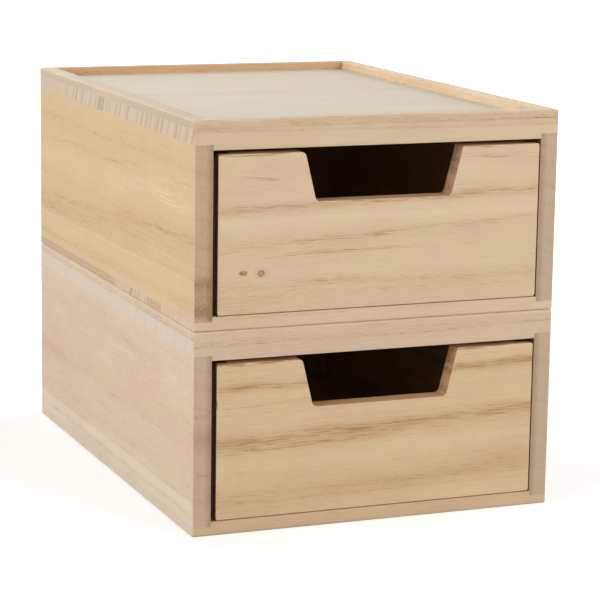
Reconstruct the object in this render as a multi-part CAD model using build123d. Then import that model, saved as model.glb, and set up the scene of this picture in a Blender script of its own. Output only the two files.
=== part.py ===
"""Two stacked single-drawer desktop units in solid paulownia, each a glued and pinned case with a tray rim.

Frame: +X to the right, +Y from the front to the back, +Z up, with the origin at the middle of the base.
All sizes are in millimetres. One STEP file is written to parts/ for each separate piece.
"""

import os

from build123d import *

# One unit, outside
UNIT_WIDTH = 180.0
UNIT_DEPTH = 250.0
UNIT_HEIGHT = 95.0  # from the base to the top of the rim
UNIT_NAMES = ("lower", "upper")

# Case boards
SIDE_THICK = 9.0
TOP_THICK = 9.5
BOTTOM_THICK = 6.5
TOP_HOUSING = 2.5  # how far the top board drops between the sides
BOTTOM_HOUSING = 2.2  # how far the bottom board rises between the sides
BACK_THICK = 3.0
BACK_LAP = 4.5  # how far the back panel laps onto each side
BACK_PLAY = 0.2  # round the edges of the back panel
EDGE_ROUND = 1.0  # sanded outer edges of a case
MOUTH_ROUND = 0.25  # front edges of the drawer opening, barely sanded

# Rim that makes the tray on top, four mitred strips
RIM_WIDE = 8.0
RIM_HIGH = 4.0
RIM_ROUND = 0.5  # its inner top edge

# Drawer in its opening
PLAY_LEFT = 2.5  # the drawer rests nearer to the right side
PLAY_RIGHT = 0.35
PLAY_UNDER = 0.3
PLAY_OVER = 2.1
PLAY_BEHIND = 2.0
FRONT_SET_BACK = 0.5  # the drawer's face behind the front of the case

# Drawer boards
FRONT_THICK = 9.0
FRONT_LIP = 4.0  # what is left of the front outside each drawer side
DRAWER_SIDE_THICK = 7.0
DRAWER_BACK_THICK = 7.0
SIDE_DROP = 3.0  # the sides and the back stand this much lower than the front
FRONT_ROUND = 0.4  # sanded edges of the drawer's face
FRONT_CORNER_ROUND = 1.2  # the face's four outer corners
BOARD_ROUND = 0.5  # sanded top edges of the sides and the back

# Thin panel that is the drawer's floor, in grooves
FLOOR_THICK = 3.0
FLOOR_UP = 5.0  # its underside above the underside of the drawer
GROOVE_DEEP = 3.0
GROOVE_PLAY = 0.5  # between the panel's edge and the bottom of a groove
GROOVE_OVER = 0.1  # above the panel in its groove

# Finger notch in the drawer's face
NOTCH_TOP_WIDE = 78.3
NOTCH_BOTTOM_WIDE = 67.0
NOTCH_DEEP = 22.7
NOTCH_OFF_MIDDLE = 1.1  # to the right of the middle of the face
NOTCH_LEFT_ROUND = 2.7  # its upper left corner, sanded well round
NOTCH_RIGHT_ROUND = 1.0  # its upper right corner
NOTCH_BOTTOM_ROUND = 2.5

# Steel brads, driven flush
PIN_ROUND = 0.6  # radius of the shank
PIN_HEAD_ROUND = 0.95  # radius of the head
PIN_HEAD_HIGH = 0.8
PIN_POINT = 1.5
PIN_PLAY = 0.02  # between a brad and its hole
CASE_PIN_LONG = 20.0
BACK_PIN_LONG = 14.0
DRAWER_PIN_LONG = 18.0
CASE_PIN_INSET = 20.0  # from the ends of a case side to its first and last brads
CASE_PINS_A_SIDE = 4
BACK_PIN_INSET = 12.0  # from the ends of the back panel's long edges
BACK_PINS_A_SIDE = 4
DRAWER_PIN_INSET = 15.0  # from the ends of each drawer corner
DRAWER_PINS_A_CORNER = 2

# Places that follow from those
HALF_WIDTH = UNIT_WIDTH / 2
HALF_DEPTH = UNIT_DEPTH / 2
HALF_MOUTH = HALF_WIDTH - SIDE_THICK
TRAY_FLOOR = UNIT_HEIGHT - RIM_HIGH
MOUTH_LOW = BOTTOM_THICK
MOUTH_HIGH = TRAY_FLOOR - TOP_THICK
SIDE_LOW = MOUTH_LOW - BOTTOM_HOUSING
SIDE_HIGH = MOUTH_HIGH + TOP_HOUSING
BACK_INNER = HALF_DEPTH - BACK_THICK

DRAWER_LEFT = -HALF_MOUTH + PLAY_LEFT
DRAWER_RIGHT = HALF_MOUTH - PLAY_RIGHT
DRAWER_MIDDLE = (DRAWER_LEFT + DRAWER_RIGHT) / 2
DRAWER_LOW = MOUTH_LOW + PLAY_UNDER
FRONT_HIGH = MOUTH_HIGH - PLAY_OVER
BOARD_HIGH = FRONT_HIGH - SIDE_DROP
FACE = -HALF_DEPTH + FRONT_SET_BACK
LIP_BACK = FACE + FRONT_LIP
FRONT_BACK = FACE + FRONT_THICK
DRAWER_END = BACK_INNER - PLAY_BEHIND
REAR_FACE = DRAWER_END - DRAWER_BACK_THICK
INNER_LEFT = DRAWER_LEFT + DRAWER_SIDE_THICK
INNER_RIGHT = DRAWER_RIGHT - DRAWER_SIDE_THICK
FLOOR_LOW = DRAWER_LOW + FLOOR_UP
FLOOR_HIGH = FLOOR_LOW + FLOOR_THICK
FLOOR_REACH = GROOVE_DEEP - GROOVE_PLAY


def block(x, y, z):
    """A box between two limits along each axis."""
    centre = Pos(sum(x) / 2, sum(y) / 2, sum(z) / 2)
    return centre * Box(x[1] - x[0], y[1] - y[0], z[1] - z[0])


def spread(low, high, inset, count):
    """Evenly spaced places between two ends, each inset from its end."""
    step = (high - low - 2 * inset) / (count - 1)
    return [low + inset + i * step for i in range(count)]


def edges_at(solid, **where):
    """The straight edges of a solid whose ends both lie at the given X, Y or Z."""

    def lies_there(edge):
        ends = (edge.position_at(0), edge.position_at(1))
        return all(abs(getattr(end, axis) - at) < 1e-4 for end in ends for axis, at in where.items())

    return solid.edges().filter_by(lies_there)


def brad(head, direction, length, play=0.0):
    """A brad from the middle of its head, pointing along a direction; with play, the hole for it."""
    shank, cap = PIN_ROUND + play, PIN_HEAD_ROUND + play
    profile = Polyline(
        (0, 0),
        (cap, 0),
        (cap, PIN_HEAD_HIGH + play),
        (shank, PIN_HEAD_HIGH + play),
        (shank, length - PIN_POINT + play),
        (0, length + play),
        close=True,
    )
    turned = revolve(Plane.XZ * make_face(profile), Axis.Z)
    return Plane(origin=head, z_dir=direction) * turned


# The case: places of its brads, as (head, direction, length)


def case_pins():
    """Brads through the top and bottom boards into the sides; the rim hides those on top."""
    places = []
    for x in (-HALF_WIDTH + SIDE_THICK / 2, HALF_WIDTH - SIDE_THICK / 2):
        for y in spread(-HALF_DEPTH, HALF_DEPTH, CASE_PIN_INSET, CASE_PINS_A_SIDE):
            places.append(((x, y, TRAY_FLOOR), (0, 0, -1), CASE_PIN_LONG))
            places.append(((x, y, 0), (0, 0, 1), CASE_PIN_LONG))
    return places


def back_pins():
    """Brads through the edges of the back panel into the sides."""
    reach = HALF_MOUTH + BACK_LAP / 2
    heights = spread(SIDE_LOW, SIDE_HIGH, BACK_PIN_INSET, BACK_PINS_A_SIDE)
    return [((x, HALF_DEPTH, z), (0, -1, 0), BACK_PIN_LONG) for x in (-reach, reach) for z in heights]


def drawer_pins():
    """Brads through the drawer's sides into the ends of its front and its back."""
    heights = spread(DRAWER_LOW, BOARD_HIGH, DRAWER_PIN_INSET, DRAWER_PINS_A_CORNER)
    depths = ((LIP_BACK + FRONT_BACK) / 2, (REAR_FACE + DRAWER_END) / 2)
    ends = ((DRAWER_LEFT, 1), (DRAWER_RIGHT, -1))
    return [((x, y, z), (way, 0, 0), DRAWER_PIN_LONG) for x, way in ends for y in depths for z in heights]


def bored(board, places):
    """A board with the holes of the brads that go through or into it."""
    for head, direction, length in places:
        board -= brad(head, direction, length, PIN_PLAY)
    return board


def pins(places):
    """The brads themselves, as separate solids."""
    return Compound(children=[brad(*place).solid() for place in places])


# The case: boards, back panel and rim


def soft_case():
    """The outside of a case, with every edge sanded round once it is glued up."""
    whole = block((-HALF_WIDTH, HALF_WIDTH), (-HALF_DEPTH, HALF_DEPTH), (0, UNIT_HEIGHT))
    return fillet(whole.edges(), EDGE_ROUND)


def top_board():
    """The tray floor: full width and depth, housed between the sides and cut back for the back panel."""
    board = block((-HALF_WIDTH, HALF_WIDTH), (-HALF_DEPTH, HALF_DEPTH), (MOUTH_HIGH, TRAY_FLOOR))
    for way in (-1, 1):
        ledge = sorted((way * HALF_MOUTH, way * HALF_WIDTH))
        board -= block(ledge, (-HALF_DEPTH, HALF_DEPTH), (MOUTH_HIGH, SIDE_HIGH))
    board -= block((-HALF_MOUTH, HALF_MOUTH), (BACK_INNER, HALF_DEPTH), (MOUTH_HIGH, SIDE_HIGH))
    board = fillet(edges_at(board, Y=-HALF_DEPTH, Z=MOUTH_HIGH), MOUTH_ROUND)
    return bored(board & soft_case(), case_pins())


def bottom_board():
    """The base: full width and depth, thinner than the top, housed between the sides in the same way."""
    board = block((-HALF_WIDTH, HALF_WIDTH), (-HALF_DEPTH, HALF_DEPTH), (0, MOUTH_LOW))
    for way in (-1, 1):
        ledge = sorted((way * HALF_MOUTH, way * HALF_WIDTH))
        board -= block(ledge, (-HALF_DEPTH, HALF_DEPTH), (SIDE_LOW, MOUTH_LOW))
    board -= block((-HALF_MOUTH, HALF_MOUTH), (BACK_INNER, HALF_DEPTH), (SIDE_LOW, MOUTH_LOW))
    board = fillet(edges_at(board, Y=-HALF_DEPTH, Z=MOUTH_LOW), MOUTH_ROUND)
    return bored(board & soft_case(), case_pins())


def case_side(way):
    """A side, left (-1) or right (1), with its front end grain showing and a rebate for the back panel."""
    span = sorted((way * HALF_MOUTH, way * HALF_WIDTH))
    rebate = sorted((way * HALF_MOUTH, way * (HALF_MOUTH + BACK_LAP)))
    side = block(span, (-HALF_DEPTH, HALF_DEPTH), (SIDE_LOW, SIDE_HIGH))
    side -= block(rebate, (BACK_INNER, HALF_DEPTH), (SIDE_LOW, SIDE_HIGH))
    side = fillet(edges_at(side, X=way * HALF_MOUTH, Y=-HALF_DEPTH), MOUTH_ROUND)
    return bored(side & soft_case(), case_pins() + back_pins())


def back_panel():
    """The thin back, let into the sides and the two boards."""
    reach = HALF_MOUTH + BACK_LAP - BACK_PLAY
    height = (SIDE_LOW + BACK_PLAY, SIDE_HIGH - BACK_PLAY)
    return bored(block((-reach, reach), (BACK_INNER, HALF_DEPTH), height), back_pins())


def rim_strip(turn):
    """A mitred strip of the rim: 0 front, 90 right, 180 back, 270 left."""
    reach, out = (HALF_WIDTH, HALF_DEPTH) if turn in (0, 180) else (HALF_DEPTH, HALF_WIDTH)
    inner = -out + RIM_WIDE
    outline = Polyline(
        (-reach, -out), (reach, -out), (reach - RIM_WIDE, inner), (RIM_WIDE - reach, inner), close=True
    )
    strip = extrude(make_face(outline), RIM_HIGH)
    strip = fillet(edges_at(strip, Y=inner, Z=RIM_HIGH), RIM_ROUND)
    return (Pos(0, 0, TRAY_FLOOR) * Rot(0, 0, turn) * strip) & soft_case()


# The drawer


def notched_outline():
    """The face of the drawer, with its finger notch, drawn from its lower middle."""
    half, high = (DRAWER_RIGHT - DRAWER_LEFT) / 2, FRONT_HIGH - DRAWER_LOW
    top, bottom, sill = NOTCH_TOP_WIDE / 2, NOTCH_BOTTOM_WIDE / 2, high - NOTCH_DEEP
    outline = Polyline(
        (-half, 0),
        (half, 0),
        (half, high),
        (NOTCH_OFF_MIDDLE + top, high),
        (NOTCH_OFF_MIDDLE + bottom, sill),
        (NOTCH_OFF_MIDDLE - bottom, sill),
        (NOTCH_OFF_MIDDLE - top, high),
        (-half, high),
        close=True,
    )
    face = make_face(outline)
    for across, height, radius in (
        (NOTCH_OFF_MIDDLE - top, high, NOTCH_LEFT_ROUND),
        (NOTCH_OFF_MIDDLE + top, high, NOTCH_RIGHT_ROUND),
        (NOTCH_OFF_MIDDLE - bottom, sill, NOTCH_BOTTOM_ROUND),
        (NOTCH_OFF_MIDDLE + bottom, sill, NOTCH_BOTTOM_ROUND),
        (-half, high, FRONT_CORNER_ROUND),
        (half, high, FRONT_CORNER_ROUND),
        (-half, 0, FRONT_CORNER_ROUND),
        (half, 0, FRONT_CORNER_ROUND),
    ):
        corner = [v for v in face.vertices() if (Vector(v) - Vector(across, height)).length < 1e-4]
        face = fillet(corner, radius)
    return face


def drawer_front():
    """The face board: notch, sanded face edges, rebates for the sides and a groove for the floor."""
    board = Pos(DRAWER_MIDDLE, FRONT_BACK, DRAWER_LOW) * extrude(Plane.XZ * notched_outline(), FRONT_THICK)
    board = fillet(board.faces().sort_by(Axis.Y)[0].edges(), FRONT_ROUND)
    full = (DRAWER_LOW, FRONT_HIGH)
    board -= block((DRAWER_LEFT, INNER_LEFT), (LIP_BACK, FRONT_BACK), full)
    board -= block((INNER_RIGHT, DRAWER_RIGHT), (LIP_BACK, FRONT_BACK), full)
    groove = (FLOOR_LOW, FLOOR_HIGH + GROOVE_OVER)
    board -= block((INNER_LEFT, INNER_RIGHT), (FRONT_BACK - GROOVE_DEEP, FRONT_BACK), groove)
    return bored(board, drawer_pins())


def drawer_side(outer, inner):
    """A drawer side between its outer and inner faces, grooved for the floor."""
    way = 1 if outer < inner else -1
    board = block(sorted((outer, inner)), (LIP_BACK, DRAWER_END), (DRAWER_LOW, BOARD_HIGH))
    tops = edges_at(board, X=outer, Z=BOARD_HIGH) + edges_at(board, X=inner, Z=BOARD_HIGH)
    board = fillet(tops, BOARD_ROUND)
    groove = (FLOOR_LOW, FLOOR_HIGH + GROOVE_OVER)
    board -= block(sorted((inner, inner - way * GROOVE_DEEP)), (LIP_BACK, DRAWER_END), groove)
    return bored(board, drawer_pins())


def drawer_back():
    """The back of the drawer, between its sides, grooved for the floor."""
    board = block((INNER_LEFT, INNER_RIGHT), (REAR_FACE, DRAWER_END), (DRAWER_LOW, BOARD_HIGH))
    tops = edges_at(board, Y=REAR_FACE, Z=BOARD_HIGH) + edges_at(board, Y=DRAWER_END, Z=BOARD_HIGH)
    board = fillet(tops, BOARD_ROUND)
    groove = (FLOOR_LOW, FLOOR_HIGH + GROOVE_OVER)
    board -= block((INNER_LEFT, INNER_RIGHT), (REAR_FACE, REAR_FACE + GROOVE_DEEP), groove)
    return bored(board, drawer_pins())


def drawer_floor():
    """The thin panel that the things in the drawer lie on, loose in its grooves."""
    return block(
        (INNER_LEFT - FLOOR_REACH, INNER_RIGHT + FLOOR_REACH),
        (FRONT_BACK - FLOOR_REACH, REAR_FACE + FLOOR_REACH),
        (FLOOR_LOW, FLOOR_HIGH),
    )


def unit_pieces():
    """Every piece of one unit, by name, standing on its own base."""
    return {
        "top_board": top_board(),
        "bottom_board": bottom_board(),
        "left_side": case_side(-1),
        "right_side": case_side(1),
        "back_panel": back_panel(),
        "rim_front": rim_strip(0),
        "rim_right": rim_strip(90),
        "rim_back": rim_strip(180),
        "rim_left": rim_strip(270),
        "case_pins": pins(case_pins()),
        "back_pins": pins(back_pins()),
        "drawer_front": drawer_front(),
        "drawer_left_side": drawer_side(DRAWER_LEFT, INNER_LEFT),
        "drawer_right_side": drawer_side(DRAWER_RIGHT, INNER_RIGHT),
        "drawer_back": drawer_back(),
        "drawer_floor": drawer_floor(),
        "drawer_pins": pins(drawer_pins()),
    }


def main():
    os.makedirs("parts", exist_ok=True)
    pieces = unit_pieces()
    for level, unit in enumerate(UNIT_NAMES):
        for name, piece in pieces.items():
            export_step(Pos(0, 0, level * UNIT_HEIGHT) * piece, f"parts/{unit}_{name}.step")


main()
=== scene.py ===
"""Two stacked desktop drawer units in sanded, unfinished paulownia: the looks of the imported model."""

from math import radians

import bmesh
import bpy
from mathutils import Euler, Matrix, Vector


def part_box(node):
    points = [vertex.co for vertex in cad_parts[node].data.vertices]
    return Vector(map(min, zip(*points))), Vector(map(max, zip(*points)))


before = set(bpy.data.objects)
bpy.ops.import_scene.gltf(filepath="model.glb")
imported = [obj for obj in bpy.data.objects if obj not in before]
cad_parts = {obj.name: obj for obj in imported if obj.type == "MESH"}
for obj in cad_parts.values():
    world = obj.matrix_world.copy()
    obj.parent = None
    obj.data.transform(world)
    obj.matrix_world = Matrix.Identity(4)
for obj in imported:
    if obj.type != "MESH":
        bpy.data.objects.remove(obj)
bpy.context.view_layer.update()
scene = bpy.context.scene
scene.view_settings.view_transform = "Standard"


# The camera. A long lens stands at the front left, a little above the rims,
# and leans about a degree to its left.
AZIMUTH, ELEVATION, ROLL = radians(-21.97), radians(11.04), radians(0.87)
DISTANCE = 1.2128  # metres, from the point that it looks at
AIM = Vector((0.0115, 0.0, 0.0807))
LENS, SENSOR = 142.5, 36  # millimetres; the sensor is square

camera = bpy.data.objects.new("camera", bpy.data.cameras.new("camera"))
camera.data.lens = LENS
camera.data.sensor_width = SENSOR
turned = Matrix.Rotation(AZIMUTH, 4, "Z") @ Matrix.Rotation(radians(90) - ELEVATION, 4, "X")
stands = Matrix.Translation(AIM + turned.to_3x3() @ Vector((0, 0, DISTANCE)))
camera.matrix_world = stands @ turned @ Matrix.Rotation(ROLL, 4, "Z")
scene.collection.objects.link(camera)
scene.camera = camera


# The studio: a large low softbox on each side of the object and a weak one above it. The front one
# stands to the right of the camera, so that what shows through the finger notches stays dark.
SOFTBOXES = {
    # name: (place, width in metres, watts)
    "softbox_left": ((-2.45, -0.8, 1.1), 1.6, 49),
    "softbox_front": ((1.3, -2.3, 1.1), 1.4, 44),
    "softbox_right": ((2.5, 0.6, 0.95), 1.4, 27),
    "softbox_back": ((-0.3, 2.6, 0.95), 1.4, 37),
    "softbox_top": ((0.2, 0.1, 2.2), 1.8, 3),
}
for name, (place, width, watts) in SOFTBOXES.items():
    light = bpy.data.lights.new(name, "AREA")
    light.size = width
    light.energy = watts
    softbox = bpy.data.objects.new(name, light)
    softbox.location = place
    softbox.rotation_euler = (Vector(place) - AIM).to_track_quat("Z", "Y").to_euler()
    scene.collection.objects.link(softbox)


# The backdrop: a matt white floor that runs out of sight under a white surround.
# The eye, and anything glossy, sees white; the floor keeps a soft shadow.
FLOOR_REACH = 12.0  # metres
SURROUND_LIGHT = 0.15  # what the white surround throws on the object, where 1 is as bright as it looks
FLOOR_GLOW = 0.47  # share of the floor's white that no shadow takes away, near the object
GLOW_NEAR, GLOW_FAR = 0.15, 0.9  # metres from the object over which it rises to all of it


def linear(colour):
    """An sRGB hex colour as linear red, green, blue and alpha."""
    shares = [int(colour[i : i + 2], 16) / 255 for i in (1, 3, 5)]
    return (*[c / 12.92 if c <= 0.04045 else ((c + 0.055) / 1.055) ** 2.4 for c in shares], 1.0)


def add(tree, kind, inputs=None, stops=None, **settings):
    """Adds a node. settings are its properties; inputs are values, or nodes whose first output feeds them;
    stops are a colour ramp's, as {position: colour}."""
    node = tree.nodes.new(f"ShaderNode{kind}")
    for name, value in settings.items():
        setattr(node, name, value)
    for name, value in (inputs or {}).items():
        source = value.outputs[0] if isinstance(value, bpy.types.Node) else value
        if isinstance(source, bpy.types.NodeSocket):
            tree.links.new(source, node.inputs[name])
        else:
            node.inputs[name].default_value = source
    if stops:
        ramp = node.color_ramp.elements
        (ramp[0].position, ramp[0].color), *others = stops.items()
        ramp.remove(ramp[-1])
        for position, colour in others:
            ramp.new(position).color = colour
    return node


def looked_at(tree):
    """1 where the backdrop is seen, outright or in something shiny or clear, and 0 where it only lights."""
    rays = add(tree, "LightPath").outputs
    seen = add(tree, "Math", {0: rays["Is Camera Ray"], 1: rays["Is Glossy Ray"]}, operation="MAXIMUM")
    return add(tree, "Math", {0: seen, 1: rays["Is Transmission Ray"]}, operation="MAXIMUM")


world = bpy.data.worlds.new("white_surround")
world.use_nodes = True
tree = world.node_tree
tree.nodes.clear()
glow = add(tree, "MapRange", {"Value": looked_at(tree), "To Min": SURROUND_LIGHT, "To Max": 1.0})
white = add(tree, "Background", {"Color": linear("#FFFFFF"), "Strength": glow})
add(tree, "OutputWorld", {"Surface": white})
scene.world = world

# Matt white paper: the eye sees a bright even white with a soft shadow, and the object
# gets the duller, slightly warm light that such a sheet throws back.
paper = bpy.data.materials.new("matt_white_paper")
paper.use_nodes = True
tree = paper.node_tree
tree.nodes.clear()
away = add(tree, "VectorMath", {0: add(tree, "TexCoord").outputs["Object"]}, operation="LENGTH")
glow = add(
    tree, "MapRange",
    {"Value": away.outputs["Value"], "From Min": GLOW_NEAR, "From Max": GLOW_FAR, "To Min": FLOOR_GLOW},
)
glow = add(tree, "Emission", {"Color": linear("#FFFFFF"), "Strength": glow})
lit = add(tree, "BsdfDiffuse", {"Color": linear("#D8D8D8")})
shown = add(tree, "AddShader", {0: glow, 1: lit})
real = add(tree, "BsdfDiffuse", {"Color": linear("#BCBBB8")})
add(tree, "OutputMaterial", {"Surface": add(tree, "MixShader", {0: looked_at(tree), 1: real, 2: shown})})

floor_mesh = bpy.data.meshes.new("floor")
plane = bmesh.new()
bmesh.ops.create_grid(plane, x_segments=1, y_segments=1, size=FLOOR_REACH)
plane.to_mesh(floor_mesh)
plane.free()
floor_mesh.materials.append(paper)
floor = bpy.data.objects.new("floor", floor_mesh)
scene.collection.objects.link(floor)


# The case sides: solid paulownia, edge-glued from wide strips, planed and sanded, left bare. They stand
# between the top and bottom boards, glued and pinned. The grain runs from front to back, so the end
# grain shows at the front, on the narrow edge.
UNITS = ("lower", "upper")
MM = 0.001

# How a board's own axes lie in the unit: along the grain, across it, and through the board
LYING = Euler((0, 0, 0))  # along X, across Y
FACING_FRONT = Euler((radians(-90), 0, 0))  # along X, across Z
FACING_SIDE = Euler((radians(-90), radians(-90), 0))  # along Y, across Z
LYING_DEEP = Euler((0, 0, radians(-90)))  # along Y, across -X

# Paulownia's grain. Its growth rings are wide and straight, with a line of open vessels at
# the start of each, and long fine fibres between them. Vessels are 0.25 mm wide in real wood
# and fibres are finer. Both are drawn at 0.5 mm, so that they show.
GRAIN = {
    # pattern: (length along the grain and width across it in mm, detail)
    "wander": (120, 50, 1),
    "ripple": (28, 12, 1),
    "cloud": (80, 16, 3),
    "blush": (45, 22, 2),
    "fibre": (14, 0.5, 3),
    "vessel": (6, 0.5, 1),
    "fluff": (20, 0.9, 2),
}
SEED_SHIFT = (431, 0, 97)  # mm in the patterns from one seed to the next, so that no two boards are alike
RIPPLE = 0.28  # height of the ripple, where the wander's is 1
RINGS_STRAY, STRAYS_PER_RING = 2.4, 0.45  # rings that they stray from an even spacing, and how often
RING_LEVELS = {0.0: 1.0, 0.10: 0.75, 0.26: 0.30, 0.55: 0.08, 0.93: 0.16, 1.0: 1.0}  # darkness through one
FAINTEST_RING = 0.2  # of the strongest
VESSEL_CUT = 0.56, 0.67  # noise at which a vessel begins to show, and at which it is fully dark
STRAY_VESSELS = 0.35  # strength of the vessels that are away from a ring's line
FLUFF_DROP = -0.11  # so that fewer of the broad fibres pass LINE_CUT than of the fine ones
SPECKS = 1.3  # in a millimetre of end grain


def group(name, inputs, outputs):
    """An empty node group with named sockets: its tree, the sockets given to it and those of its result."""
    tree = bpy.data.node_groups.new(name, "ShaderNodeTree")
    for side, sockets in (("INPUT", inputs), ("OUTPUT", outputs)):
        for socket, kind in sockets.items():
            tree.interface.new_socket(socket, in_out=side, socket_type=f"NodeSocket{kind}")
    return tree, tree.nodes.new("NodeGroupInput").outputs, tree.nodes.new("NodeGroupOutput").inputs


grain_tree, given, result = group(
    "paulownia_grain",
    {"Board": "Vector", "Seed": "Float", "Ring": "Float", "Lean": "Float", "Wander": "Float"},
    {name: "Float" for name in ("Rings", "Streaks", "Vessels", "Cloud", "Blush", "Fluff", "Speck")},
)
tree = grain_tree
apart = add(tree, "CombineXYZ", {0: given["Seed"], 2: given["Seed"]})
apart = add(tree, "VectorMath", {0: apart, 1: SEED_SHIFT}, operation="MULTIPLY")
place = add(tree, "VectorMath", {0: given["Board"], 1: apart})
noises = {}
source = place
for pattern, (along, across, detail) in GRAIN.items():
    if pattern == "cloud":  # from here on the patterns follow the bent grain
        bend = {0: noises["ripple"], 1: RIPPLE, 2: noises["wander"]}
        bend = add(tree, "Math", bend, operation="MULTIPLY_ADD")
        bend = add(tree, "Math", {0: bend, 1: -0.5 * (1 + RIPPLE)})
        bend = add(tree, "Math", {0: bend, 1: given["Wander"]}, operation="MULTIPLY")
        through = add(tree, "SeparateXYZ", {0: given["Board"]}).outputs[2]
        bend = add(tree, "Math", {0: given["Lean"], 1: through, 2: bend}, operation="MULTIPLY_ADD")
        source = add(tree, "VectorMath", {0: place, 1: add(tree, "CombineXYZ", {1: bend})})
    sizes = (1 / along, 1 / across, 1 / across)
    scaled = add(tree, "VectorMath", {0: source, 1: sizes}, operation="MULTIPLY")
    noises[pattern] = add(
        tree, "TexNoise", {"Vector": scaled, "Scale": 1.0, "Detail": detail, "Roughness": 0.6}
    )
across = add(tree, "SeparateXYZ", {0: source})
rings = add(tree, "Math", {0: across.outputs[1], 1: given["Ring"]}, operation="DIVIDE")
uneven = add(
    tree, "TexNoise", {"W": rings, "Scale": STRAYS_PER_RING, "Detail": 1.0}, noise_dimensions="1D"
)
rings = add(tree, "Math", {0: uneven, 1: RINGS_STRAY, 2: rings}, operation="MULTIPLY_ADD")
rings = add(tree, "Math", {0: rings, 1: given["Seed"]})
phase = add(tree, "Math", {0: rings}, operation="FRACT")
number = add(tree, "Math", {0: rings}, operation="FLOOR")
vigour = add(tree, "TexWhiteNoise", {"W": number}, noise_dimensions="1D")
profile = add(
    tree, "ValToRGB", {"Fac": phase},
    stops={at: (level, level, level, 1) for at, level in RING_LEVELS.items()},
)
profile.color_ramp.interpolation = "EASE"
strong = add(tree, "MapRange", {"Value": vigour, "To Min": FAINTEST_RING, "To Max": 1.0})
ring_line = add(tree, "Math", {0: profile, 1: strong}, operation="MULTIPLY")
dashes = add(
    tree, "MapRange", {"Value": noises["vessel"], "From Min": VESSEL_CUT[0], "From Max": VESSEL_CUT[1]}
)
near_ring = add(tree, "MapRange", {"Value": ring_line, "To Min": STRAY_VESSELS, "To Max": 1.0})
dashes = add(tree, "Math", {0: dashes, 1: near_ring}, operation="MULTIPLY")
fluff = add(tree, "Math", {0: noises["fluff"], 1: FLUFF_DROP})
speck = add(tree, "TexNoise", {"Vector": place, "Scale": SPECKS, "Detail": 2.0})
shown = {
    "Rings": ring_line, "Streaks": noises["fibre"], "Vessels": dashes, "Cloud": noises["cloud"],
    "Blush": noises["blush"], "Fluff": fluff, "Speck": speck,
}
for name, source in shown.items():
    tree.links.new(source.outputs[0], result[name])

# One grain line or dark patch. It runs from one height across the board to another and
# sways a little. It fades softly across its thickness and more sharply at its two ends, and the fibres
# break it up.
SWAY, SWAY_LENGTH = 3.5, 50  # mm that a line may sway in all, and mm along it from one sway to the next
OWN_SWAY = 9.7  # mm that a line's sway is shifted for each mm of its start, so that no two are alike
LINE_CUT = 0.42, 0.64  # fibre at which a broken line begins to show, and at which it is fully there
LINE_GAIN, SOLID_LEVEL = 1.7, 0.9  # strength of a broken line where it is fully there, and of a solid one

line_tree, given, result = group(
    "grain_line",
    {
        "Board": "Vector", "Start": "Float", "Slope": "Float", "Thick": "Float", "Strength": "Float",
        "Solid": "Float", "Middle": "Float", "Reach": "Float", "Fibre": "Float",
    },
    {"Tone": "Float"},
)
tree = line_tree
axes = add(tree, "SeparateXYZ", {0: given["Board"]}).outputs
height = add(tree, "Math", {0: axes[0], 1: given["Slope"], 2: given["Start"]}, operation="MULTIPLY_ADD")
shifted = add(tree, "Math", {0: given["Start"], 1: OWN_SWAY, 2: axes[0]}, operation="MULTIPLY_ADD")
sway = add(
    tree, "TexNoise", {"W": shifted, "Scale": 1 / SWAY_LENGTH, "Detail": 1.0}, noise_dimensions="1D"
)
sway = add(tree, "Math", {0: sway, 1: -0.5})
height = add(tree, "Math", {0: sway, 1: SWAY, 2: height}, operation="MULTIPLY_ADD")
off = add(tree, "Math", {0: axes[1], 1: height}, operation="SUBTRACT")
off = add(tree, "Math", {0: off, 1: given["Thick"]}, operation="DIVIDE")
off = add(tree, "Math", {0: off, 1: 2.0}, operation="POWER")
out = add(tree, "Math", {0: axes[0], 1: given["Middle"]}, operation="SUBTRACT")
out = add(tree, "Math", {0: out, 1: given["Reach"]}, operation="DIVIDE")
out = add(tree, "Math", {0: out, 1: 4.0}, operation="POWER")
both = add(tree, "Math", {0: off, 1: out})
both = add(tree, "Math", {0: both, 1: -1.0}, operation="MULTIPLY")
fall = add(tree, "Math", {0: both}, operation="EXPONENT")
broken = add(
    tree, "MapRange",
    {"Value": given["Fibre"], "From Min": LINE_CUT[0], "From Max": LINE_CUT[1], "To Max": LINE_GAIN},
)
broken = add(tree, "Mix", {0: given["Solid"], 2: broken, 3: SOLID_LEVEL})
fall = add(tree, "Math", {0: fall, 1: broken}, operation="MULTIPLY")
fall = add(tree, "Math", {0: fall, 1: given["Strength"]}, operation="MULTIPLY")
tree.links.new(fall.outputs[0], result["Tone"])

# How the patterns are laid on a board. A tone of 0 is pale, 0.5 is usual and 1 is brown
EDGE_TURN = 0.6, 0.85  # how squarely a surface faces across the grain where it begins to be edge, and is
END_TURN = 0.45, 0.9  # the same along the grain, for end grain
SEAM = 0.15  # mm each side of a glued seam over which the two strips blend
STRIP_SEED = 3.7  # seeds from one glued strip to the next
MEAN_TONE, MEAN_RING = 0.36, 0.3  # of any face, and of the ring pattern
FACE_FIGURE = {"Streaks": (0.65, 0.5), "Vessels": (0.6, 0.1), "Cloud": (0.9, 0.5)}  # strength, and mean
END_BASE, END_SPECK = -0.05, 0.5  # end grain's tone before its rings, and what its specks add
THICK_LINE = 2  # mm; a grain line past this runs on between the fibres, by the shares below
SOLID_SHARES = {"Streaks": 0.87, "Fluff": 0.0, "Speck": 0.85}
GAP_SHADE_REACH, GAP_SHADE_DARK = 3.5, 0.55  # painted shade on the inner face: mm in from it over which it fades, and the tone it adds
GAP_SHADE_BROWN, GAP_SHADE_BROWN_SHARE = "#5A2400", 0.85  # painted shade near the front of the inner face: its brown, and how far it covers the wood's own
GAP_SHADE_BROWN_REACH, GAP_SHADE_BROWN_DEEP = (6.0, 16.0), 0.2  # mm from the front over which that painted brown shade fades, and its depth
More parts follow.
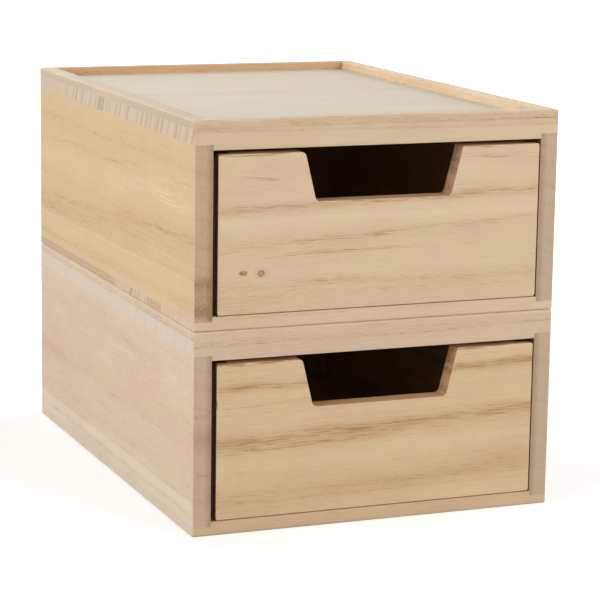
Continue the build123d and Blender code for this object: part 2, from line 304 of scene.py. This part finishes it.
BLUSH_CUT, BLUSH_HUES = (0.35, 0.65), ("#FFFDF5", "#FFF6F4")  # bare wood is yellower here, rosier there
TORN_FLUFF = "#F2E2CA"  # torn fibres stand up and look paler
CORNER_BARE_AND_HIGHLIGHT, CORNER_PALE_AND_HIGHLIGHT = 3.2, "#EAD8BC"  # how strongly the pale corner line shows, and its colour: sanded wood and a painted highlight
SPOT_RAGGED = 0.8  # how far specks pull a spot's outline about, in half sizes
ROUGH = 0.6, 0.78  # of the pale wood and of the brown
RELIEF, VESSEL_RELIEF, BUMP = 0.08 * MM, -0.6, 0.5  # metres; vessels are hollows
SHEEN, SHEEN_ROUGH = 0.08, 0.5  # the faint bloom of sanded fibres
MIX = {"data_type": "RGBA"}  # a mix of two colours, and one colour tinted by another
TINT = {"data_type": "RGBA", "blend_type": "MULTIPLY"}


def paulownia(
    node, lies, seed, tones, end_tones, figure=0.25, ring=9.0, lean=0.35, wander=3.0, contrast=0.8,
    end_figure=0.35, edge_tint="#FFFFFF", edge_figure=1.0, inner=None,
    lines=(), torn=(), end_lines=(), strips=(), spots=(),
):
    """Bare sanded paulownia on one board: pale, matt and soft to the eye, with faint rings and fine dark
    vessels. lies is how the board lies, and seed picks its place in the patterns. tones are its pale, usual
    and brown colours on a face, and end_tones its pale and brown colours on end grain.

    figure and end_figure are how strongly the rings show on them, and contrast how strongly the rest of a
    face's grain does. ring is a ring's width in mm, lean the mm that the rings shift for each mm through the
    board, and wander the mm that they bend. edge_tint colours the narrow long edges, and edge_figure makes
    their grain stronger. inner is where a case side's inner face is, in mm through the board: that face and
    the end grain beside it get painted shade for the drawer gaps, dark all over and brown near the front.

    What is listed is in mm along and across the board. lines are grain lines on a face, torn is
    patches of pale torn fibre, and end_lines are lines on end grain, each as (start, finish, thick,
    strength), with (middle, reach) along the board after that where it is short. strips are (start, finish,
    tint, end tint, end figure) above that height. spots are knots and pips, as (along, across, half length,
    half height, core, outline)."""
    low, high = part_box(node)
    turn = lies.to_matrix()
    ends = [turn @ low, turn @ high]
    corner = Vector([min(pair) for pair in zip(*ends)])
    length = abs(ends[1].x - ends[0].x) / MM
    material = bpy.data.materials.new(f"sanded_paulownia_{node}")
    material.use_nodes = True
    tree = material.node_tree
    shader = tree.nodes["Principled BSDF"]
    where = add(tree, "TexCoord").outputs
    board = add(
        tree, "Mapping",
        {"Vector": where["Object"], "Location": -corner / MM, "Rotation": lies, "Scale": (1 / MM,) * 3},
    )
    along, across, through = add(tree, "SeparateXYZ", {0: board}).outputs
    facing = add(tree, "Mapping", {"Vector": where["Normal"], "Rotation": lies}, vector_type="NORMAL")
    facing = add(tree, "VectorMath", {0: facing}, operation="ABSOLUTE")
    end_on, edge_on, flat_on = add(tree, "SeparateXYZ", {0: facing}).outputs
    on_edge = add(tree, "MapRange", {"Value": edge_on, "From Min": EDGE_TURN[0], "From Max": EDGE_TURN[1]})
    on_end = add(tree, "MapRange", {"Value": end_on, "From Min": END_TURN[0], "From Max": END_TURN[1]})

    # Strips glued side by side: each starts at a seam, with a tint and a grain of its own
    tint = end_tint = linear("#FFFFFF")
    for start, finish, strip_tint, strip_end_tint, strip_end_figure in strips:
        slope = (finish - start) / length
        seam = add(tree, "Math", {0: along, 1: slope, 2: start}, operation="MULTIPLY_ADD")
        above = add(tree, "Math", {0: across, 1: seam}, operation="SUBTRACT")
        inside = add(tree, "MapRange", {"Value": above, "From Min": -SEAM, "From Max": SEAM})
        tint = add(tree, "Mix", {0: inside, 6: tint, 7: linear(strip_tint)}, **MIX).outputs[2]
        end_tint = add(tree, "Mix", {0: inside, 6: end_tint, 7: linear(strip_end_tint)}, **MIX).outputs[2]
        end_figure = add(tree, "Mix", {0: inside, 2: end_figure, 3: strip_end_figure})
        seed = add(tree, "Math", {0: inside, 1: STRIP_SEED, 2: seed}, operation="MULTIPLY_ADD")
    grain = add(
        tree, "Group", {"Board": board, "Seed": seed, "Ring": ring, "Lean": lean, "Wander": wander},
        node_tree=grain_tree,
    ).outputs

    # The tone on a face, stronger on the edges where they are cut across the rings
    base = MEAN_TONE - figure * MEAN_RING
    tone = add(tree, "Math", {0: grain["Rings"], 1: figure, 2: base}, operation="MULTIPLY_ADD")
    for name, (strength, mean) in FACE_FIGURE.items():
        strength *= contrast
        shift = add(tree, "Math", {0: tone, 1: -strength * mean})
        tone = add(tree, "Math", {0: grain[name], 1: strength, 2: shift}, operation="MULTIPLY_ADD")
    if edge_figure != 1.0:
        off = add(tree, "Math", {0: tone, 1: -MEAN_TONE})
        more = add(tree, "MapRange", {"Value": on_edge, "To Min": 1.0, "To Max": edge_figure})
        tone = add(tree, "Math", {0: off, 1: more, 2: MEAN_TONE}, operation="MULTIPLY_ADD")

    # The tone on end grain, which runs from pale to brown
    end_tone = add(tree, "Math", {0: grain["Rings"], 1: end_figure, 2: END_BASE}, operation="MULTIPLY_ADD")
    end_tone = add(tree, "Math", {0: grain["Speck"], 1: END_SPECK, 2: end_tone}, operation="MULTIPLY_ADD")

    # Painted shade for the drawer gaps on a case side's inner face: dark all over, with the end grain beside
    # it, and brown near the front
    if inner is not None:
        inwards = add(tree, "Math", {0: through, 1: inner}, operation="SUBTRACT")
        inwards = add(tree, "Math", {0: inwards}, operation="ABSOLUTE")
        gap_shade = add(
            tree, "MapRange",
            {"Value": inwards, "From Max": GAP_SHADE_REACH, "To Min": GAP_SHADE_DARK, "To Max": 0.0},
        )
        end_tone = add(tree, "Math", {0: end_tone, 1: gap_shade})
        tone = add(tree, "Math", {0: tone, 1: gap_shade})
        gap_shade_brown = add(
            tree, "MapRange",
            {
                "Value": along, "From Min": GAP_SHADE_BROWN_REACH[0], "From Max": GAP_SHADE_BROWN_REACH[1],
                "To Min": GAP_SHADE_BROWN_SHARE, "To Max": 0.0,
            },
        )
        skin = {"Value": inwards, "From Max": GAP_SHADE_BROWN_DEEP, "To Min": 1.0, "To Max": 0.0}
        gap_shade_brown = add(tree, "Math", {0: gap_shade_brown, 1: add(tree, "MapRange", skin)}, operation="MULTIPLY")

    # The listed lines and patches, each broken up by the fibres of its own kind of surface
    sums = {"Streaks": tone, "Fluff": 0.0, "Speck": end_tone}
    for marks, fibre in ((lines, "Streaks"), (torn, "Fluff"), (end_lines, "Speck")):
        for start, finish, thick, strength, *span in marks:
            middle, reach = span or (length / 2, 10 * length)
            values = {
                "Board": board, "Start": start, "Slope": (finish - start) / length, "Thick": thick,
                "Strength": strength, "Solid": SOLID_SHARES[fibre] if thick > THICK_LINE else 0.0,
                "Middle": middle, "Reach": reach, "Fibre": grain[fibre],
            }
            mark = add(tree, "Group", values, node_tree=line_tree)
            sums[fibre] = add(tree, "Math", {0: sums[fibre], 1: mark})
    tone, fluff, end_tone = sums.values()

    # The colour of a face: its tones, the blush, pale torn fibre, the painted brown shade, and spots over all
    stops = {at: linear(colour) for at, colour in zip((0.0, 0.5, 1.0), tones)}
    colour = add(tree, "ValToRGB", {"Fac": tone}, stops=stops)
    face = add(tree, "Mix", {0: 1.0, 6: colour, 7: tint}, **TINT).outputs[2]
    rosy = {"Value": grain["Blush"], "From Min": BLUSH_CUT[0], "From Max": BLUSH_CUT[1]}
    rosy = add(tree, "MapRange", rosy)
    hue = add(tree, "Mix", {0: rosy, 6: linear(BLUSH_HUES[0]), 7: linear(BLUSH_HUES[1])}, **MIX).outputs[2]
    face = add(tree, "Mix", {0: 1.0, 6: face, 7: hue}, **TINT).outputs[2]
    face = add(tree, "Mix", {0: fluff, 6: face, 7: linear(TORN_FLUFF)}, **MIX).outputs[2]
    if inner is not None:
        face = add(tree, "Mix", {0: gap_shade_brown, 6: face, 7: linear(GAP_SHADE_BROWN)}, **MIX).outputs[2]
    for spot_along, spot_across, half_length, half_height, core, outline in spots:
        off = add(tree, "VectorMath", {0: board, 1: (spot_along, spot_across, 0)}, operation="SUBTRACT")
        halves = (1 / half_length, 1 / half_height, 0)
        off = add(tree, "VectorMath", {0: off, 1: halves}, operation="MULTIPLY")
        off = add(tree, "VectorMath", {0: off}, operation="LENGTH").outputs["Value"]
        off = add(tree, "Math", {0: grain["Speck"], 1: SPOT_RAGGED, 2: off}, operation="MULTIPLY_ADD")
        inside, edge = linear(core), linear(outline)
        spot = add(  # the ramp runs from its middle to two half sizes out
            tree, "ValToRGB", {"Fac": add(tree, "Math", {0: off, 1: 0.5}, operation="MULTIPLY")},
            stops={0.0: inside, 0.35: inside, 0.5: edge, 0.6: edge, 0.75: (*edge[:3], 0)},
        )
        face = add(tree, "Mix", {0: spot.outputs[1], 6: face, 7: spot}, **MIX).outputs[2]

    # The face, the narrow edges and the end grain together. Where end grain turns into a face the sanded
    # corner is a thin pale line: partly the sanded wood's own paler colour, partly a painted highlight
    end = add(tree, "Mix", {0: end_tone, 6: linear(end_tones[0]), 7: linear(end_tones[1])}, **MIX).outputs[2]
    end = add(tree, "Mix", {0: 1.0, 6: end, 7: end_tint}, **TINT).outputs[2]
    edge = add(tree, "Mix", {0: on_edge, 6: face, 7: linear(edge_tint)}, **TINT).outputs[2]
    both = add(tree, "Mix", {0: on_end, 6: edge, 7: end}, **MIX).outputs[2]
    bare_and_highlight = add(tree, "Math", {0: on_end, 1: -1.0, 2: 1.0}, operation="MULTIPLY_ADD")
    for factor in (on_end, flat_on, CORNER_BARE_AND_HIGHLIGHT):
        bare_and_highlight = add(tree, "Math", {0: bare_and_highlight, 1: factor}, operation="MULTIPLY")
    both = add(tree, "Mix", {0: bare_and_highlight, 6: both, 7: linear(CORNER_PALE_AND_HIGHLIGHT)}, **MIX).outputs[2]
    tree.links.new(both, shader.inputs["Base Color"])

    rough = add(tree, "MapRange", {"Value": tone, "To Min": ROUGH[0], "To Max": ROUGH[1]})
    tree.links.new(rough.outputs[0], shader.inputs["Roughness"])
    relief = {0: grain["Vessels"], 1: VESSEL_RELIEF, 2: grain["Streaks"]}
    relief = add(tree, "Math", relief, operation="MULTIPLY_ADD")
    bump = add(tree, "Bump", {"Strength": BUMP, "Distance": RELIEF, "Height": relief})
    tree.links.new(bump.outputs[0], shader.inputs["Normal"])
    shader.inputs["Sheen Weight"].default_value = SHEEN
    shader.inputs["Sheen Roughness"].default_value = SHEEN_ROUGH
    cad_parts[node].material_slots[0].material = material


paulownia(
    "upper_left_side", FACING_SIDE, 1.0, ("#E3CAA2", "#DABE95", "#C19A69"), ("#C9AE8C", "#94714F"),
    figure=0.12, contrast=0.65, end_figure=0.15, inner=9,
    lines=(
        (61.0, 55.5, 1.0, 0.22),
        (70.0, 66.0, 6.0, 0.14),
        (50.0, 47.0, 5.0, -0.22),
        (34.0, 20.0, 8.0, 0.22),
        (38.0, 24.0, 1.2, 0.15),
        (18.6, 14.6, 0.6, -0.5),
        (8.5, 4.5, 3.0, 0.26),
        (1.0, 0.0, 3.0, 0.1),
    ),
    torn=((54.0, 50.0, 8.0, 0.42, 60, 55), (27.0, 30.0, 5.0, 0.3, 45, 35)),
    end_lines=((5.0, 5.0, 3.0, 0.5), (18.0, 18.0, 2.5, 0.45), (11.0, 11.0, 9.0, 0.35)),
    strips=((18.4, 14.4, "#FBF8F1", "#FFFFFF", 0.15),),
    spots=((132, 14.3, 0.7, 0.6, "#A88462", "#B8946E"), (16, 29, 0.6, 0.5, "#A88462", "#B8946E")),
)
paulownia(
    "lower_left_side", FACING_SIDE, 2.0, ("#E6D6C0", "#DCC7AE", "#BF9F80"), ("#CDB199", "#9D7A62"),
    figure=0.12, contrast=0.75, end_figure=0.15, inner=9,
    lines=(
        (12.6, 10.4, 1.0, 0.35),
        (9.8, 9.4, 1.6, -0.75),
        (5.0, 5.4, 1.0, 0.4),
        (40.0, 36.0, 5.0, 0.12),
        (6.0, 6.0, 6.0, -0.25),
    ),
    torn=((63.0, 58.0, 9.0, 0.3, 65, 75), (34.0, 30.0, 9.0, 0.15, 60, 60)),
    end_lines=(
        (52.0, 52.0, 1.4, 0.22), (41.0, 41.0, 5.0, 0.35), (24.0, 24.0, 1.6, 0.18), (12.0, 12.0, 2.5, 0.12),
    ),
    strips=((12.3, 10.1, "#FDF8F6", "#FFFFFF", 0.15),),
)
for unit, seed, tones in (
    ("lower", 3.0, ("#E3CFB6", "#DAC1A6", "#BF9C7A")),
    ("upper", 4.0, ("#E4CFAF", "#DBC19D", "#BF976A")),
):
    paulownia(
        f"{unit}_right_side", FACING_SIDE, seed, tones, ("#C9B196", "#9C7D61"),
        contrast=0.6, end_figure=0.15, inner=0,
        lines=((48.0 + seed, 42.0, 0.8, 0.3), (20.0, 26.0 - seed, 4.0, 0.2)),
        torn=((62.0, 58.0, 8.0, 0.4, 190, 50),),
        strips=((24.0 + 3 * seed, 22.0 + 2 * seed, "#FFF9F1", "#FFFFFF", 0.15),),
    )


# The top boards, the floors of the trays, and the bottom boards: the same wood, glued and pinned to the
# sides. The grain runs across the unit, so both ends show on its sides, as a strip with the rings cut
# crosswise.
# Their upper faces get greyer, paler tones than their edges, which edge_tint warms: partly the wood, partly a
# painted sheen from the light grazing the top.
paulownia(
    "upper_top_board", LYING, 6.0, ("#DAD0BD", "#D1C6B2", "#B4A088"), ("#DDC8AE", "#C0A287"),
    edge_tint="#FFF0E0", edge_figure=2.0, ring=8.0, lean=0.5, contrast=0.3, end_figure=1.7,
    strips=((210, 210, "#FFFFFF", "#FBF8F2", 0.1),),
)
paulownia(
    "lower_top_board", LYING, 5.0, ("#DACEB9", "#CFC2AB", "#B39C82"), ("#E4D3C0", "#C8AF97"),
    edge_tint="#FFF1EA", edge_figure=1.6, ring=8.0, lean=0.5, contrast=0.5, end_figure=0.25,
)
paulownia(
    "upper_bottom_board", LYING, 8.0, ("#DEC9AE", "#D2B898", "#B38F69"), ("#E1C9AD", "#BA9577"),
    ring=6.0, lean=0.5, contrast=0.7, end_figure=0.3,
    strips=(
        (45, 45, "#FFFFFF", "#EFE2D8", 0.7), (66, 66, "#FFFFFF", "#FFFFFF", 1.0),
        (118, 118, "#FFFFFF", "#EADCD0", 0.15),
    ),
)
paulownia(
    "lower_bottom_board", LYING, 7.0, ("#D8BF9F", "#C9AB8A", "#A78562"), ("#E4D2BA", "#CAAF94"),
    ring=8.0, lean=0.5, contrast=0.7,
)


# The rims: four thin strips of paulownia, mitred at the corners and glued round the edge of each
# top board. They are cut from odd lengths, so each has a colour of its own.
RIM_SIDES = {"front": LYING, "right": LYING_DEEP, "back": LYING, "left": LYING_DEEP}
RIM_TONES = {
    "upper_front": ("#DECDB1", "#CDB696", "#A8835A"),
    "upper_right": ("#E9D6B8", "#DFC096", "#C89A64"),
    "upper_back": ("#CCAA84", "#BE9872", "#A07A56"),
    "upper_left": ("#CEBBA0", "#C5B092", "#AC8C64"),
    "lower_front": ("#D8C5AA", "#CBB395", "#AE8F6C"),
    "lower_right": ("#DDC9AC", "#D0B996", "#B39264"),
    "lower_back": ("#D8C0A0", "#C9AD88", "#A9855C"),
    "lower_left": ("#DFCDB2", "#D6C0A2", "#B89875"),
}
RIM_EDGE_TINTS = {"upper_front": "#F6EFEB"}  # its edges are a little darker than its top

for number, unit in enumerate(UNITS):
    for turn, (side, lies) in enumerate(RIM_SIDES.items()):
        tones = RIM_TONES[f"{unit}_{side}"]
        paulownia(
            f"{unit}_rim_{side}", lies, 10.0 + 4 * number + turn, tones, tones[1:],
            figure=0.4, ring=5.0, contrast=1.1,
            edge_tint=RIM_EDGE_TINTS.get(f"{unit}_{side}", "#FFFFFF"),
        )


# The drawer fronts: one wide paulownia board each, with the notch sawn out and the face edges sanded
# round, glued and pinned to the drawer's sides. The sawn cheeks of the notch are end grain, left rough
# and darker than the face.
FRONT_GRAIN = {"figure": 0.12, "ring": 6.0, "lean": 1.0, "contrast": 0.6, "end_figure": 0.2}
FRONT_EDGE_TINT = "#EDCFA4"  # a browner tint on the long edges and the notch's sill: partly painted shade, for the shaded top edge
FRONT_TOP = 72.9  # mm up, the line of painted shade along the top edge: just over the board, so only its fringe is on it
FRONT_END_LINES = (
    (36.0, 36.0, 200.0, 0.8, 0, 3),  # painted shade: the left end, dark all the way up, beside the gap; the notch is out of its reach
    (54.0, 53.0, 1.9, 0.3), (59.5, 61.0, 1.8, 0.35), (66.0, 65.0, 1.9, 0.3),
)

# The fronts' brown end tone is near black: it is the colour of that painted shade at the left end.
paulownia(
    "upper_drawer_front", FACING_FRONT, 20.0, ("#E1CDAD", "#D5BD9C", "#B2885A"), ("#DAAE83", "#4A1E00"),
    **FRONT_GRAIN, edge_tint=FRONT_EDGE_TINT,
    lines=(
        (46.6, 51.6, 3.0, 0.34),
        (46.8, 51.8, 1.6, 0.16),
        (29.0, 39.5, 1.3, 0.22),
        (31.0, 37.5, 3.0, 0.1),
        (61.5, 61.5, 1.1, 0.38, 19.5, 10),
        (67.0, 67.0, 0.9, 0.35, 139.5, 20),
        (26.0, 27.5, 1.0, 0.35, 60, 38),
        (14.5, 13.0, 1.4, 0.28, 55, 16),
        (42.0, 44.0, 3.5, -0.22),
        (4.0, 12.0, 8.0, 0.22),
        # painted shade along the top edge, for the dark gap above the drawer
        (FRONT_TOP, FRONT_TOP, 0.5, 0.8),
    ),
    end_lines=FRONT_END_LINES,
    spots=(
        # a pip with a dark heart, and a pale knot with a pink one
        (12.2, 18.8, 2.3, 1.2, "#B58C64", "#AC845C"),
        (11.2, 18.8, 0.9, 0.6, "#8C6844", "#96724E"),
        (20.7, 18.4, 4.2, 2.9, "#D3B08C", "#D6B592"),
        (20.7, 18.3, 1.8, 1.5, "#C2977A", "#A67C5C"),
    ),
)
paulownia(
    "lower_drawer_front", FACING_FRONT, 21.0, ("#E1CBA8", "#D2B590", "#AE8450"), ("#E5AE7E", "#4A1E00"),
    **FRONT_GRAIN, edge_tint=FRONT_EDGE_TINT,
    lines=(
        (60.8, 65.0, 2.6, 0.34),
        (61.2, 65.3, 1.6, 0.2),
        (34.6, 42.0, 5.0, 0.36),
        (34.9, 42.0, 2.0, 0.2),
        (30.0, 38.0, 1.2, 0.25, 40, 60),
        (8.0, 16.0, 7.0, 0.3),
        (24.0, 30.0, 4.0, -0.15),
        (52.0, 56.0, 1.0, 0.25, 40, 40),
        # painted shade along the top edge, for the dark gap above the drawer
        (FRONT_TOP, FRONT_TOP, 0.5, 1.3),
    ),
    end_lines=FRONT_END_LINES,
    spots=((0.1, 54, 0.4, 2.2, "#140A05", "#140A05"),),  # painted shade: a near-black nick in the left edge
)


# The drawer boxes: paulownia sides let into the back of the front, and a back between them, glued and
# pinned. They are planed but hardly sanded, a shade darker than what shows when the drawers are shut.
BOX_SIDES = {"left_side": FACING_SIDE, "right_side": FACING_SIDE, "back": FACING_FRONT}
BOX_TONES, BOX_END_TONES = ("#D2B894", "#C3A57E", "#A27C54"), ("#C4A684", "#94714E")

for number, unit in enumerate(UNITS):
    for turn, (side, lies) in enumerate(BOX_SIDES.items()):
        paulownia(f"{unit}_drawer_{side}", lies, 30.0 + 3 * number + turn, BOX_TONES, BOX_END_TONES)


# The thin panels: three-ply board of the same wood, pinned in a rebate at the back of each case and let
# into grooves under each drawer. The outer ply is peeled, not sawn, so its figure is wide and wavy.
PANELS = {"back_panel": FACING_FRONT, "drawer_floor": LYING_DEEP}
PLY_TONES, PLY_END_TONES = ("#DEC8A6", "#D1B48E", "#B48E62"), ("#C9AD8A", "#A78560")

for number, unit in enumerate(UNITS):
    for turn, (part, lies) in enumerate(PANELS.items()):
        paulownia(
            f"{unit}_{part}", lies, 40.0 + 2 * number + turn, PLY_TONES, PLY_END_TONES,
            figure=0.55, ring=22.0, wander=22.0, contrast=0.6,
        )


# The brads: drawn steel wire with small flat heads, driven flush with the wood to hold the glued
# joints. To the eye bright steel is a grey mirror, blurred and dulled in patches a millimetre wide.
STEEL_SMUDGES = 0.9 / MM  # to the metre
STEEL_BRIGHT, STEEL_DULL = "#C4C4C6", "#8F8C88"
STEEL_ROUGH = 0.25, 0.5

steel = bpy.data.materials.new("bright_drawn_steel")
steel.use_nodes = True
tree = steel.node_tree
shader = tree.nodes["Principled BSDF"]
shader.inputs["Metallic"].default_value = 1.0
where = add(tree, "TexCoord")
smudge = add(tree, "TexNoise", {"Vector": where.outputs["Object"], "Scale": STEEL_SMUDGES, "Detail": 2.0})
tarnish = add(tree, "Mix", {0: smudge, 6: linear(STEEL_BRIGHT), 7: linear(STEEL_DULL)}, **MIX)
tree.links.new(tarnish.outputs[2], shader.inputs["Base Color"])
dull = add(tree, "MapRange", {"Value": smudge, "To Min": STEEL_ROUGH[0], "To Max": STEEL_ROUGH[1]})
tree.links.new(dull.outputs[0], shader.inputs["Roughness"])
for unit in UNITS:
    for joint in ("case", "back", "drawer"):
        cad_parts[f"{unit}_{joint}_pins"].material_slots[0].material = steel
